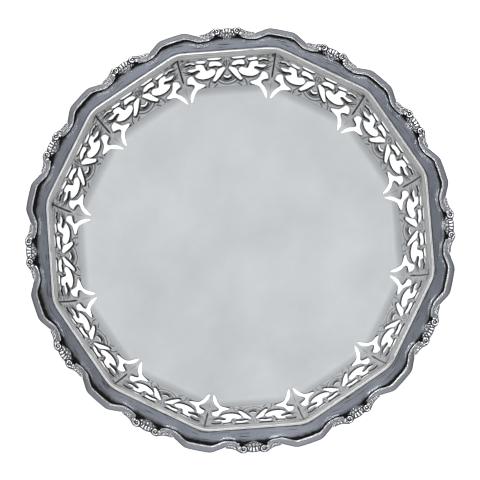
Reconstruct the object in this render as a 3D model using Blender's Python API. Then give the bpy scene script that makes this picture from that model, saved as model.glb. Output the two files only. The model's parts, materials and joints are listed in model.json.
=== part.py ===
"""Twelve-sided silver dish with a pierced gallery, a concave flange and an applied shell-and-reed border.

Every piece is its own closed solid: the floor plate, twelve pierced gallery panels, the gallery rail, the
flange, twelve border mouldings, twelve shells and the foot rim. The +Z axis is the axis of the dish, z = 0 is
the plane it stands on, and the middle of gallery panel 01 lies on +X.

Lengths are in millimetres until an object is made, and "apothem" is the distance from the axis to the
middle of one of the twelve sides.
"""

import math

import bmesh
import bpy
from mathutils import Matrix, Vector

MM = 0.001

# Driving dimensions
SIDES = 12
SHEET = 0.9  # silver sheet of the panels, flange and floor
GAP = 0.3  # room left for solder between two pieces

FLOOR_Z = 5.0  # upper face of the floor
FOLD_APOTHEM = 106.0  # foot of the gallery panels
WALL_APOTHEM = 120.4  # head of the gallery panels
FOLD_SLOPE, WALL_SLOPE = math.radians(50), math.radians(75)  # slope of the side at its foot and head
MARGIN_RADIUS = 8.0  # the floor curves up to the fold on this radius
RAIL_RISE = 6.0
EDGE_APOTHEM = 122.8  # inner edge of the flange
EDGE_TOP_WIDTH = 0.9  # flat top of the rail
RAIL_THICKNESS = 1.2
CORNER_REACH = 1.03  # corner radius of the rounded twelve-gon, over its apothem
CORNER_START = 12.4  # degrees from the middle of a side to where the rounding of its corner begins

FLANGE_DROP = 5.3  # the flange falls this far from its inner edge to its outer edge
FLANGE_FLAT = 1.2  # the flange is flat from this far inside the border
FLANGE_TUCK = 1.6  # how far the flange runs on under the border

# Border: radii of its outer and inner edges at the bulge, in the trough and beside the shell
BULGE_OUTER, TROUGH_OUTER, VOLUTE_OUTER = 140.7, 136.7, 140.0
BULGE_INNER, TROUGH_INNER, VOLUTE_INNER = 136.4, 132.2, 134.1
BULGE_HALF, TROUGH_START, TROUGH_END, VOLUTE_AT = 2.8, 7.5, 9.0, 12.2  # degrees from the bulge
MOULDING_HALF = 11.1  # degrees from the bulge to the end of a moulding
SPRAY_ROOM = 1.6  # width given up to the leaf spray beside a shell
SPRAY_START, SPRAY_END = 6.5, 8.0  # degrees from the bulge over which that room opens
BORDER_TURN = math.radians(-0.6)  # the border was set a little round from the sides of the gallery
SHELL_RADIUS = 136.0  # pitch radius of the shells
SHELL_HEIGHT = 2.9

FOOT_TOP = 3.7
FOOT_RADIUS = 78.0

STEP = 2 * math.pi / SIDES
HALF_STEP = STEP / 2
CORNER_RATIO = math.tan(HALF_STEP)  # half the length of a side, over its apothem

# Section of the side: an arc up the margin of the floor, an arc up the gallery, then the straight rail
FLOOR_APOTHEM = FOLD_APOTHEM - MARGIN_RADIUS * math.sin(FOLD_SLOPE)
FOLD_Z = FLOOR_Z + MARGIN_RADIUS * (1 - math.cos(FOLD_SLOPE))
COVE_RADIUS = (WALL_APOTHEM - FOLD_APOTHEM) / (math.sin(WALL_SLOPE) - math.sin(FOLD_SLOPE))
WALL_Z = FOLD_Z + COVE_RADIUS * (math.cos(FOLD_SLOPE) - math.cos(WALL_SLOPE))
PANEL_LENGTH = COVE_RADIUS * (WALL_SLOPE - FOLD_SLOPE)
EDGE_Z = WALL_Z + RAIL_RISE
BORDER_Z = EDGE_Z - FLANGE_DROP + 0.1  # underside of the border

# Half pattern of a gallery panel as (distance from the panel's middle, distance down from its head), drawn on
# a sheet PATTERN_LENGTH long. Each opening is mirrored to the other half.
PATTERN_LENGTH = 26.7
HALF_OPENINGS = {
    "slot_by_middle": [(3.0, 0.9), (12.9, 0.6), (11.6, 2.9), (4.6, 3.0)],
    "slot_by_corner": [(14.2, 3.5), (19.8, 3.1), (19.8, 5.9), (14.3, 6.4)],
    "eye": [(20.8, 5.8), (22.6, 5.2), (24.8, 5.4), (25.2, 6.0), (23.2, 6.3)],
    "bean": [
        (3.8, 9.2), (3.9, 7.7), (5.2, 6.1), (7.2, 5.1), (9.2, 4.9), (10.7, 5.3), (11.3, 9.4), (7.4, 8.5),
        (5.4, 9.4),
    ],
    "scroll": [
        (16.2, 7.2), (20.3, 7.3), (19.9, 11.0), (25.0, 11.6), (25.9, 12.7), (23.3, 14.2), (19.0, 12.2),
        (17.4, 13.0), (17.3, 14.2), (20.3, 16.5), (20.9, 17.7), (19.6, 19.3), (16.4, 20.4), (13.0, 20.0),
        (10.0, 18.6), (8.3, 16.7), (7.9, 14.6), (8.6, 12.9), (9.8, 12.0), (12.9, 14.0), (14.2, 13.2),
    ],
    "blade": [
        (1.7, 10.8), (3.6, 11.6), (5.7, 12.8), (6.5, 14.9), (7.3, 17.5), (9.5, 21.7), (8.6, 22.9),
        (5.4, 19.5), (1.5, 13.1),
    ],
}  # fmt: skip
SMILE = [
    (-2.3, 18.0), (-1.9, 19.6), (0.0, 20.6), (1.9, 19.6), (2.3, 18.0), (1.3, 18.9), (0.0, 19.5), (-1.3, 18.9),
]  # fmt: skip
# The Y-shaped opening beside each corner starts in the panel and ends in the floor plate. The panel's part is
# given like the openings, the plate's part as (distance from the middle of the side, apothem).
FORK_IN_PANEL = [
    (16.0, 26.7), (14.6, 25.5), (15.2, 24.3), (18.0, 23.7), (20.0, 22.9), (21.5, 20.9), (23.2, 17.0),
    (25.2, 17.8), (26.5, 19.5), (26.7, 23.7), (23.8, 23.9), (22.2, 24.6), (21.7, 25.7), (22.3, 26.7),
]  # fmt: skip
FORK_IN_PLATE = [
    (16.0, 106.0), (18.2, 105.4), (20.8, 104.4), (22.8, 101.5), (23.9, 98.5), (24.9, 97.1),
    (25.3, 100.6), (24.3, 103.6), (22.6, 105.5), (22.3, 106.0),
]  # fmt: skip

# Half outline of a shell with its volute and leaf spray, as (distance round the rim from its middle, radius)
HALF_SHELL = [
    (0.0, 139.3), (2.2, 139.2), (3.9, 138.7), (4.9, 139.4), (6.7, 140.1), (8.4, 139.6), (9.6, 138.9),
    (12.0, 137.6), (14.5, 137.0), (17.5, 137.0), (18.6, 136.5), (17.5, 136.0), (14.5, 135.9),
    (12.0, 136.4), (9.8, 137.7), (8.6, 137.1), (8.3, 135.8), (6.2, 134.3), (4.2, 133.7), (2.6, 132.6),
    (0.0, 132.1),
]  # fmt: skip


def silver(name, shade, roughness):
    """A metallic material of the given brightness and roughness."""
    material = bpy.data.materials.new(name)
    material.use_nodes = True
    shader = material.node_tree.nodes["Principled BSDF"]
    shader.inputs["Base Color"].default_value = (*shade, 1.0)
    shader.inputs["Metallic"].default_value = 1.0
    shader.inputs["Roughness"].default_value = roughness
    material.diffuse_color = (*shade, 1.0)
    return material


def add(name, data, material):
    """Puts mesh or curve data into the scene as the named object."""
    obj = bpy.data.objects.new(name, data)
    if not data.materials:
        data.materials.append(material)
    bpy.context.scene.collection.objects.link(obj)
    return obj


def turned(k, extra=0.0):
    """The turn that carries side 1 onto side k + 1, and an extra angle beyond it."""
    return Matrix.Rotation(k * STEP + extra, 4, "Z")


def smooth_step(low, high, x):
    t = min(max((x - low) / (high - low), 0.0), 1.0)
    return t * t * (3 - 2 * t)


def from_middle(angle):
    """Angle from the middle of the nearest side, from -HALF_STEP to HALF_STEP."""
    return (angle + HALF_STEP) % STEP - HALF_STEP


def twelve_gon(apothem, angle, reach=None):
    """Radius at an angle of a twelve-gon with the given apothem, whose corners end at reach times it."""
    radius = apothem / math.cos(from_middle(angle))
    return radius if reach is None else min(radius, apothem * reach)


def round_the_dish(between):
    """Angles all the way round: each corner, the ends of its rounding, and some degrees in between."""
    parts = (-math.degrees(HALF_STEP), -CORNER_START, *between, CORNER_START)
    return [k * STEP + math.radians(part) for k in range(SIDES) for part in parts]


def wavy(degrees, bulge, trough, volute):
    """A border radius, this many degrees from the middle of a bulge."""
    u = abs(degrees)
    fall = smooth_step(BULGE_HALF, TROUGH_START, u)
    rise = smooth_step(TROUGH_END, VOLUTE_AT, u)
    return bulge + (trough - bulge) * fall + (volute - trough) * rise


def border_inner(degrees):
    return wavy(degrees, BULGE_INNER, TROUGH_INNER, VOLUTE_INNER)


def border_outer(degrees):
    spray = SPRAY_ROOM * smooth_step(SPRAY_START, SPRAY_END, abs(degrees))
    return wavy(degrees, BULGE_OUTER, TROUGH_OUTER, VOLUTE_OUTER) - spray


def ring_mesh(name, sections, smooth=None):
    """A closed ring through the given cross-sections, each a list of points in order round the section."""
    work = bmesh.new()
    rows = [[work.verts.new(Vector(point) * MM) for point in section] for section in sections]
    count = len(rows[0])
    for row, following in zip(rows, rows[1:] + rows[:1]):
        for i in range(count):
            j = (i + 1) % count
            work.faces.new((row[i], row[j], following[j], following[i]))
    return finished(work, name, smooth)


def finished(work, name, smooth=None):
    """Turns the faces outward, shades them smooth up to an angle in degrees, and makes the mesh."""
    bmesh.ops.recalc_face_normals(work, faces=work.faces)
    mesh = bpy.data.meshes.new(name)
    work.to_mesh(mesh)
    work.free()
    if smooth is not None:
        mesh.shade_smooth()
        mesh.set_sharp_from_angle(angle=math.radians(smooth))
    return mesh


def polar(radius, angle, z):
    return (radius * math.cos(angle), radius * math.sin(angle), z)


def mirrored(points):
    """The same outline on the other side of the middle."""
    return [(-x, y) for x, y in reversed(points)]


# Floor plate


def floor_plate():
    """The floor and its rising margin, cut by the lower arms of the Y-shaped openings."""
    steps = 5
    slopes = [(FOLD_SLOPE - GAP / 2 / MARGIN_RADIUS) * i / steps for i in range(steps + 1)]
    upper = [
        (FLOOR_APOTHEM + MARGIN_RADIUS * math.sin(t), FLOOR_Z + MARGIN_RADIUS * (1 - math.cos(t)))
        for t in slopes
    ]
    lower = [(a + SHEET * math.sin(t), z - SHEET * math.cos(t)) for (a, z), t in zip(upper, slopes)]
    work = bmesh.new()
    corners = [HALF_STEP + k * STEP for k in range(SIDES)]
    rings = [
        [work.verts.new(Vector(polar(apothem / math.cos(HALF_STEP), angle, z)) * MM) for angle in corners]
        for apothem, z in upper + list(reversed(lower))
    ]
    for inner, outer in zip(rings, rings[1:]):
        for i in range(SIDES):
            j = (i + 1) % SIDES
            work.faces.new((inner[i], outer[i], outer[j], inner[j]))
    work.faces.new(rings[0])
    work.faces.new(rings[-1])
    plate = add("well_plate", finished(work, "well_plate", 25), SATIN)
    cut = plate.modifiers.new("forks", "BOOLEAN")
    cut.operation = "DIFFERENCE"
    cut.object = fork_cutter()


def fork_cutter():
    """Upright prisms through the plate, one for each arm of a Y-shaped opening, running out past the fold."""
    beyond = FOLD_APOTHEM + 3
    work = bmesh.new()
    for k in range(SIDES):
        for outline in (FORK_IN_PLATE, mirrored(FORK_IN_PLATE)):
            ends = [(outline[0][0], beyond), (outline[-1][0], beyond)]
            points = [ends[0]] + outline + [ends[1]]
            face = work.faces.new(
                [work.verts.new(turned(k) @ (Vector((apothem, x, 0.0)) * MM)) for x, apothem in points]
            )
            grown = bmesh.ops.extrude_face_region(work, geom=[face])["geom"]
            up = Vector((0, 0, 2 * FOLD_Z * MM))
            bmesh.ops.translate(work, vec=up, verts=[v for v in grown if isinstance(v, bmesh.types.BMVert)])
    cutter = add("fork_cutter", finished(work, "fork_cutter"), SATIN)
    cutter.hide_render = True
    cutter.display_type = "WIRE"
    return cutter


# Gallery


def in_cove(side, down, depth):
    """A point of panel 1: side runs round the dish, down from the panel's head, depth behind its front."""
    slope = WALL_SLOPE - down / COVE_RADIUS
    apothem = WALL_APOTHEM - COVE_RADIUS * (math.sin(WALL_SLOPE) - math.sin(slope))
    z = WALL_Z - COVE_RADIUS * (math.cos(slope) - math.cos(WALL_SLOPE))
    return Vector((apothem + depth * math.sin(slope), side, z - depth * math.cos(slope)))


def panel_outline():
    """Outline of a panel, with the notches that the Y-shaped openings make in its foot."""

    def half_width(down):
        return in_cove(0, down, 0).x * CORNER_RATIO - GAP / 2

    top, foot = GAP, PANEL_LENGTH - GAP / 2
    fork = [(x, min(down, foot)) for x, down in fitted(FORK_IN_PANEL)]
    right = [(half_width(down), down) for down in (top, 0.35 * foot, 0.7 * foot, foot)] + list(reversed(fork))
    return right + mirrored(right)


def fitted(outline):
    """A pattern outline on the panel's real length."""
    return [(x, down * PANEL_LENGTH / PATTERN_LENGTH) for x, down in outline]


def pattern_mesh():
    """The pierced pattern as a flat plate: x round the dish, y down the panel, z through the sheet."""
    outlines = [panel_outline(), fitted(SMILE)]
    for opening in HALF_OPENINGS.values():
        outlines += [fitted(opening), mirrored(fitted(opening))]
    pattern = bpy.data.curves.new("gallery_pattern", "CURVE")
    pattern.dimensions = "2D"
    pattern.fill_mode = "BOTH"
    pattern.extrude = SHEET / 2
    for outline in outlines:
        spline = pattern.splines.new("POLY")
        spline.points.add(len(outline) - 1)
        for point, (x, down) in zip(spline.points, outline):
            point.co = (x, down, 0.0, 1.0)
        spline.use_cyclic_u = True
    holder = bpy.data.objects.new("gallery_pattern", pattern)
    mesh = bpy.data.meshes.new_from_object(holder)
    bpy.data.objects.remove(holder)
    bpy.data.curves.remove(pattern)
    return mesh


def gallery_panels():
    """Twelve pierced panels, curved in section, which meet at the corners."""
    work = bmesh.new()
    work.from_mesh(pattern_mesh())
    bmesh.ops.remove_doubles(work, verts=work.verts, dist=1e-3)
    for part in (0.25, 0.5, 0.75):
        everything = work.verts[:] + work.edges[:] + work.faces[:]
        place = (0, part * PANEL_LENGTH, 0)
        bmesh.ops.bisect_plane(work, geom=everything, plane_co=place, plane_no=(0, 1, 0))
    for v in work.verts:
        v.co = in_cove(v.co.x, v.co.y, SHEET / 2 - v.co.z) * MM
    mesh = finished(work, "gallery_panel", 30)
    for k in range(SIDES):
        add(f"gallery_panel_{k + 1:02d}", mesh, POLISHED).matrix_world = turned(k)


def gallery_rail():
    """The plain sloping band above the panels, with a flat top beside the flange."""
    lean = Vector((EDGE_APOTHEM - WALL_APOTHEM, EDGE_Z - WALL_Z)).normalized()
    back = Vector((lean.y, -lean.x)) * RAIL_THICKNESS
    outer = EDGE_APOTHEM + EDGE_TOP_WIDTH
    section = [
        (EDGE_APOTHEM, EDGE_Z, CORNER_REACH),
        (outer, EDGE_Z, CORNER_REACH),
        (outer, EDGE_Z - SHEET, CORNER_REACH),
        (WALL_APOTHEM + back.x, WALL_Z + back.y, None),
        (WALL_APOTHEM, WALL_Z, None),
    ]
    angles = round_the_dish((0,))
    sections = [[polar(twelve_gon(a, angle, reach), angle, z) for a, z, reach in section] for angle in angles]
    add("gallery_rail", ring_mesh("gallery_rail", sections, 20), POLISHED)


# Flange and border


def flange_plate():
    """The concave band between the rail and the border."""
    inner_apothem = EDGE_APOTHEM + EDGE_TOP_WIDTH + GAP
    top_z = BORDER_Z - GAP + FLANGE_DROP
    rings = 3
    sections = []
    for angle in round_the_dish((-8.3, -4.2, 0, 4.2, 8.3)):
        inner = twelve_gon(inner_apothem, angle, CORNER_REACH)
        border = border_inner(math.degrees(from_middle(angle + HALF_STEP - BORDER_TURN)))
        outer = border - FLANGE_FLAT
        upper = []
        for j in range(rings + 1):
            t = j / rings
            upper.append((inner + (outer - inner) * t, top_z - FLANGE_DROP * (1 - (1 - t) ** 2)))
        upper.append((border + FLANGE_TUCK, BORDER_Z - GAP))
        lower = [(radius, z - SHEET) for radius, z in reversed(upper)]
        sections.append([polar(radius, angle, z) for radius, z in upper + lower])
    add("flange_plate", ring_mesh("flange_plate", sections, 30), POLISHED)


def border_mouldings():
    """Twelve reeded mouldings, an outer roll and an inner bead, each from shell to shell over a corner."""
    # part of the width, height
    section = [(0.0, 0.0), (0.04, 1.1), (0.24, 1.2), (0.42, 2.2), (0.7, 2.6), (0.95, 1.6), (1.0, 0.0)]
    steps = 12
    work = bmesh.new()
    rows = []
    for i in range(steps + 1):
        degrees = MOULDING_HALF * (2 * i / steps - 1)
        inner, outer = border_inner(degrees), border_outer(degrees)
        angle = HALF_STEP + math.radians(degrees)
        points = [polar(inner + (outer - inner) * part, angle, BORDER_Z + height) for part, height in section]
        rows.append([work.verts.new(Vector(point) * MM) for point in points])
    for row, following in zip(rows, rows[1:]):
        for j, point in enumerate(row):
            work.faces.new((row[j - 1], point, following[j], following[j - 1]))
    work.faces.new(rows[0])
    work.faces.new(rows[-1])
    mesh = finished(work, "border_moulding", 40)
    for k in range(SIDES):
        add(f"border_moulding_{k + 1:02d}", mesh, POLISHED).matrix_world = turned(k, BORDER_TURN)


def border_shells():
    """Twelve cast shells, each with two volutes and two leaf sprays, over the middles of the sides."""
    outline = HALF_SHELL + mirrored(HALF_SHELL)[1:-1]
    work = bmesh.new()
    corners = [polar(radius, around / SHELL_RADIUS, BORDER_Z) for around, radius in outline]
    face = work.faces.new([work.verts.new(Vector(corner) * MM) for corner in corners])
    grown = bmesh.ops.extrude_face_region(work, geom=[face])["geom"]
    raised = [v for v in grown if isinstance(v, bmesh.types.BMVert)]
    bmesh.ops.translate(work, vec=Vector((0, 0, SHELL_HEIGHT * MM)), verts=raised)
    mesh = finished(work, "shell")
    for k in range(SIDES):
        add(f"shell_{k + 1:02d}", mesh, POLISHED).matrix_world = turned(k, BORDER_TURN)


# Foot


def foot_rim():
    """A low turned ring under the floor, flat below."""
    profile = [
        (FOOT_RADIUS + 2.0, 0.0), (FOOT_RADIUS + 2.0, 0.8), (FOOT_RADIUS + 0.3, 2.2), (FOOT_RADIUS, FOOT_TOP),
        (FOOT_RADIUS - 4.0, FOOT_TOP), (FOOT_RADIUS - 3.0, 2.4), (FOOT_RADIUS - 1.6, 0.0),
    ]  # fmt: skip
    segments = 60
    sections = [
        [polar(radius, 2 * math.pi * i / segments, z) for radius, z in profile] for i in range(segments)
    ]
    add("foot_rim", ring_mesh("foot_rim", sections, 30), POLISHED)


for leftover in list(bpy.data.objects):
    bpy.data.objects.remove(leftover, do_unlink=True)

SATIN = silver("satin_silver", (0.80, 0.80, 0.79), 0.42)
POLISHED = silver("polished_silver", (0.86, 0.86, 0.85), 0.12)

floor_plate()
gallery_panels()
gallery_rail()
flange_plate()
border_mouldings()
border_shells()
foot_rim()
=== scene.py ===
"""Looks of the pierced silver dish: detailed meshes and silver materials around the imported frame."""

import json
import math

import bpy
import numpy as np
from mathutils import Matrix, Vector

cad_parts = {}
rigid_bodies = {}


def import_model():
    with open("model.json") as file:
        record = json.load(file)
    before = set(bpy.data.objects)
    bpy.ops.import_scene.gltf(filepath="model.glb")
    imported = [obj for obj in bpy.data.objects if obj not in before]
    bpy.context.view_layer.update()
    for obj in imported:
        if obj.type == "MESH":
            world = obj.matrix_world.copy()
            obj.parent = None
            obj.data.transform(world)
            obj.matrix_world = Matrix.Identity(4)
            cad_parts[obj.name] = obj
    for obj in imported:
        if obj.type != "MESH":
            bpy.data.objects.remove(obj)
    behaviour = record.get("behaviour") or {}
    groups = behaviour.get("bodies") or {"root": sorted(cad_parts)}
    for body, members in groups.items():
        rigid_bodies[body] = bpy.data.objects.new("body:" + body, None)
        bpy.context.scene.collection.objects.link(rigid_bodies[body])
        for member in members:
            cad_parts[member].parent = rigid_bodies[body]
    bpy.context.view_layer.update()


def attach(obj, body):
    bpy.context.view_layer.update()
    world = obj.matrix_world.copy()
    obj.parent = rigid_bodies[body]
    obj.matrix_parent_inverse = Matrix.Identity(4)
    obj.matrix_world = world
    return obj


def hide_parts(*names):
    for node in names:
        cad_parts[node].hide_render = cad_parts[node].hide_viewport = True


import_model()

MM = 0.001

# Driving dimensions in millimetres, the same as the frame's
SIDES = 12
SHEET = 0.9
GAP = 0.3
FLOOR_Z = 5.0
FOLD_APOTHEM, WALL_APOTHEM, EDGE_APOTHEM = 106.0, 120.4, 122.8
FOLD_SLOPE, WALL_SLOPE = math.radians(50), math.radians(75)
MARGIN_RADIUS = 8.0
RAIL_RISE = 6.0
EDGE_TOP_WIDTH = 0.9
RAIL_THICKNESS = 1.2
CORNER_REACH = 1.03
FLANGE_DROP, FLANGE_TUCK = 5.3, 1.6
BULGE_OUTER, TROUGH_OUTER, VOLUTE_OUTER = 140.7, 136.7, 140.0
BULGE_INNER, TROUGH_INNER, VOLUTE_INNER = 136.4, 132.2, 134.1
BULGE_HALF, TROUGH_START, TROUGH_END, VOLUTE_AT = 2.8, 7.5, 9.0, 12.2
MOULDING_HALF = 11.1
SPRAY_ROOM = 1.6
SPRAY_START, SPRAY_END = 6.5, 8.0
BORDER_TURN = math.radians(-0.6)
SHELL_RADIUS = 136.0
SHELL_HEIGHT = 2.9
FOOT_TOP, FOOT_RADIUS = 3.7, 78.0

STEP = 2 * math.pi / SIDES
HALF_STEP = STEP / 2
CORNER_RATIO = math.tan(HALF_STEP)
FLOOR_APOTHEM = FOLD_APOTHEM - MARGIN_RADIUS * math.sin(FOLD_SLOPE)
FOLD_Z = FLOOR_Z + MARGIN_RADIUS * (1 - math.cos(FOLD_SLOPE))
COVE_RADIUS = (WALL_APOTHEM - FOLD_APOTHEM) / (math.sin(WALL_SLOPE) - math.sin(FOLD_SLOPE))
WALL_Z = FOLD_Z + COVE_RADIUS * (math.cos(FOLD_SLOPE) - math.cos(WALL_SLOPE))
PANEL_LENGTH = COVE_RADIUS * (WALL_SLOPE - FOLD_SLOPE)
MARGIN_LENGTH = MARGIN_RADIUS * FOLD_SLOPE
EDGE_Z = WALL_Z + RAIL_RISE
BORDER_Z = EDGE_Z - FLANGE_DROP + 0.1

# What only this model has
CLOSE_GAP = 0.03  # between panels and round the floor plate, where the soldered joints look closed
FILE_WIDTH = 0.32  # softening an outline takes off its tips, so each opening is cut this much larger
CORNER_CUT = 0.18  # how far along each side a corner is cut when an outline is softened
RIM_ROUND, RIM_DROP = 0.7, 0.18  # how far from each opening the chased face is rounded, and how much it falls
ENGRAVED_DEPTH = 0.13
SHADOW_LIP = 0.25  # width of the painted shadow on the lower lip of each opening
TOP_LEAN = 0.12  # the rail's top edge is this much lower at its outer side
FLANGE_END_STEEP = 0.8  # slope of the flange at the border, as a share of its slope at the rail

# Painted shade lies heavier on one side of the dish, darkening its soot and grime there: its bearing, and the
# share of it on the other side
PANEL_SHADE_BEARING = math.radians(130)
FLANGE_SHADE_BEARING = math.radians(205)
LEAST_SOOT_AND_SHADE, LEAST_GRIME_AND_SHADE = 0.65, 0.1

# Half pattern of a gallery panel, as (distance from its middle, distance down from its head) on a sheet
# PATTERN_LENGTH long; each opening is mirrored
PATTERN_LENGTH = 26.7
OPENINGS = {
    "slot_by_middle": [(3.0, 0.9), (12.9, 0.6), (11.8, 3.2), (4.4, 3.3)],
    "slot_by_corner": [(14.2, 3.5), (19.8, 3.1), (19.8, 5.9), (14.3, 6.4)],
    "eye": [
        (20.7, 6.9), (22.0, 5.3), (24.4, 4.7), (26.9, 6.0), (27.4, 6.9),
        (26.2, 6.9), (24.8, 6.0), (23.4, 5.9), (22.2, 6.9),
    ],
    "bean": [
        (3.6, 9.7), (3.7, 7.7), (5.0, 5.9), (7.2, 4.8), (9.2, 4.6),
        (10.9, 5.0), (11.5, 10.1), (7.4, 9.0), (5.4, 10.0),
    ],
    "scroll": [
        (16.2, 7.2), (20.3, 7.3), (19.9, 11.0), (25.0, 11.6), (25.9, 12.7), (23.3, 14.2), (19.0, 12.2),
        (17.4, 13.0), (17.3, 14.2), (20.3, 16.5), (20.9, 17.7), (19.6, 19.3), (16.4, 20.4), (13.0, 20.0),
        (10.0, 18.6), (8.3, 16.7), (7.9, 14.6), (8.6, 12.9), (9.8, 12.0), (12.9, 14.0), (14.2, 13.2),
    ],
    "blade": [
        (1.7, 10.8), (3.6, 11.6), (5.7, 12.8), (6.5, 14.9), (7.3, 17.5),
        (9.5, 21.7), (8.6, 22.9), (5.4, 19.5), (1.5, 13.1),
    ],
}
# The small crescent over the rosette, the only opening that lies across the middle
SMILE = [
    (-2.3, 18.0), (-1.9, 19.6), (0.0, 20.6), (1.9, 19.6), (2.3, 18.0), (1.3, 18.9), (0.0, 19.5), (-1.3, 18.9),
]
# The Y-shaped opening beside each corner, which runs on past the panel's foot into the floor plate
FORK = [
    (20.8, 28.9), (18.2, 27.5), (16.0, 26.7), (14.6, 25.5), (15.2, 24.3), (18.0, 23.7), (20.0, 22.9),
    (21.5, 20.9), (23.2, 17.0), (25.2, 17.8), (26.5, 19.5), (26.7, 23.7), (23.8, 23.9), (22.2, 24.6),
    (21.7, 25.7), (22.6, 27.3), (24.3, 29.8), (25.3, 33.1), (24.9, 36.8), (23.9, 35.5), (22.8, 32.2),
]
FORK_CLEAR = 12.8  # no fork comes nearer than this to the middle of its side
FORK_END = 37.6  # and none reaches further down
# Half outline of a shell with its volute and leaf spray, as (distance round the rim, radius)
HALF_SHELL = [
    (0.0, 139.3), (2.2, 139.2), (3.9, 138.7), (4.9, 139.4), (6.7, 140.1), (8.4, 139.6), (9.6, 138.9),
    (12.0, 137.6), (14.5, 137.0), (17.5, 137.0), (18.6, 136.3), (17.5, 135.5), (14.5, 135.3), (12.0, 135.9),
    (9.8, 137.2), (8.6, 136.8), (8.3, 135.6), (6.2, 134.2), (4.2, 133.7), (2.6, 132.6), (0.0, 132.1),
]


# Outlines and distances


def mirrored(points):
    """The other half of an outline that starts and ends on its axis."""
    return [(-x, y) for x, y in reversed(points)]


def softened(outline, rounds=2):
    """A closed outline with its corners cut again and again, which rounds them."""
    points = np.array(outline, float)
    for _ in range(rounds):
        following = np.roll(points, -1, axis=0)
        step = CORNER_CUT * (following - points)
        points = np.stack([points + step, following - step], 1).reshape(-1, 2)
    return points


def distance_to_line(x, y, line):
    """Distance from each point to an open polyline."""
    nearest = np.full(x.shape, np.inf)
    line = np.asarray(line, float)
    for (ax, ay), (bx, by) in zip(line[:-1], line[1:]):
        dx, dy = bx - ax, by - ay
        t = np.clip(((x - ax) * dx + (y - ay) * dy) / (dx * dx + dy * dy + 1e-12), 0, 1)
        nearest = np.minimum(nearest, np.hypot(x - ax - t * dx, y - ay - t * dy))
    return nearest


def outside(x, y, outline):
    """Signed distance to a closed outline, positive outside it."""
    outline = np.asarray(outline, float)
    closed = np.vstack([outline, outline[:1]])
    within = np.zeros(x.shape, bool)
    for (ax, ay), (bx, by) in zip(closed[:-1], closed[1:]):
        crosses = (ay > y) != (by > y)
        span = by - ay if by != ay else 1e-12
        within ^= crosses & (x < ax + (y - ay) / span * (bx - ax))
    return np.where(within, -1, 1) * distance_to_line(x, y, closed)


def smooth_step(low, high, x):
    """0 up to low, 1 from high on and smooth between them; with high under low it falls instead."""
    t = np.clip((x - low) / (high - low), 0, 1)
    return t * t * (3 - 2 * t)


def groove(distance, width):
    """1 on an engraved line, falling to 0 beside it."""
    return np.exp(-((distance / width) ** 2))


# The dish's surfaces


def cove(down):
    """Apothem, height and slope of the inner face, this far down from the head of the gallery."""
    down = np.asarray(down, float)
    panel = WALL_SLOPE - down / COVE_RADIUS
    margin = np.clip(FOLD_SLOPE - (down - PANEL_LENGTH) / MARGIN_RADIUS, 0, None)
    on_panel = down <= PANEL_LENGTH
    slope = np.where(on_panel, panel, margin)
    apothem = np.where(
        on_panel,
        WALL_APOTHEM - COVE_RADIUS * (math.sin(WALL_SLOPE) - np.sin(slope)),
        FLOOR_APOTHEM + MARGIN_RADIUS * np.sin(slope),
    )
    z = np.where(
        on_panel,
        WALL_Z - COVE_RADIUS * (np.cos(slope) - math.cos(WALL_SLOPE)),
        FLOOR_Z + MARGIN_RADIUS * (1 - np.cos(slope)),
    )
    beyond = np.clip(down - PANEL_LENGTH - MARGIN_LENGTH, 0, None)
    return apothem - beyond, z, slope


def on_side(side, down, depth, turn):
    """Points on the sides of the dish: side is measured round it, depth behind its inner face."""
    apothem, z, slope = cove(down)
    out = apothem + depth * np.sin(slope)
    # the edge of a side keeps to the corner's plane, also behind the face
    side = side * out / np.maximum(apothem, 1e-6)
    x = out * np.cos(turn) - side * np.sin(turn)
    y = out * np.sin(turn) + side * np.cos(turn)
    return np.stack([x, y, z - depth * np.cos(slope)], -1)


def from_middle(angle):
    """Angle from the middle of the nearest side."""
    return (angle + HALF_STEP) % STEP - HALF_STEP


def twelve_gon(apothem, angle, reach=None):
    """Radius of a twelve-gon, whose corners reach can limit to this many times the apothem."""
    radius = apothem / np.cos(from_middle(angle))
    if reach is None:
        return radius
    # a soft minimum rounds the corner
    limit, soft = apothem * reach, 0.35
    return limit - soft * np.log1p(np.exp((limit - radius) / soft))


def wavy(degrees, bulge, trough, volute):
    """Radius of a wavy edge this far round from a corner, with its radii at the bulge, trough and volute."""
    u = np.abs(degrees)
    fall = smooth_step(BULGE_HALF, TROUGH_START, u)
    rise = smooth_step(TROUGH_END, VOLUTE_AT, u)
    return bulge + (trough - bulge) * fall + (volute - trough) * rise


def border_inner(degrees):
    """The inner edge of the moulding."""
    return wavy(degrees, BULGE_INNER, TROUGH_INNER, VOLUTE_INNER)


def border_outer(degrees):
    """The outer edge of the moulding, which leaves room beside the shells for their leaf sprays."""
    room = SPRAY_ROOM * smooth_step(SPRAY_START, SPRAY_END, np.abs(degrees))
    return wavy(degrees, BULGE_OUTER, TROUGH_OUTER, VOLUTE_OUTER) - room


def polar(radius, angle, z):
    """Points at this radius, angle and height."""
    radius, angle, z = np.broadcast_arrays(radius, angle, z)
    return np.stack([radius * np.cos(angle), radius * np.sin(angle), z], -1)


# Mesh making


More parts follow.
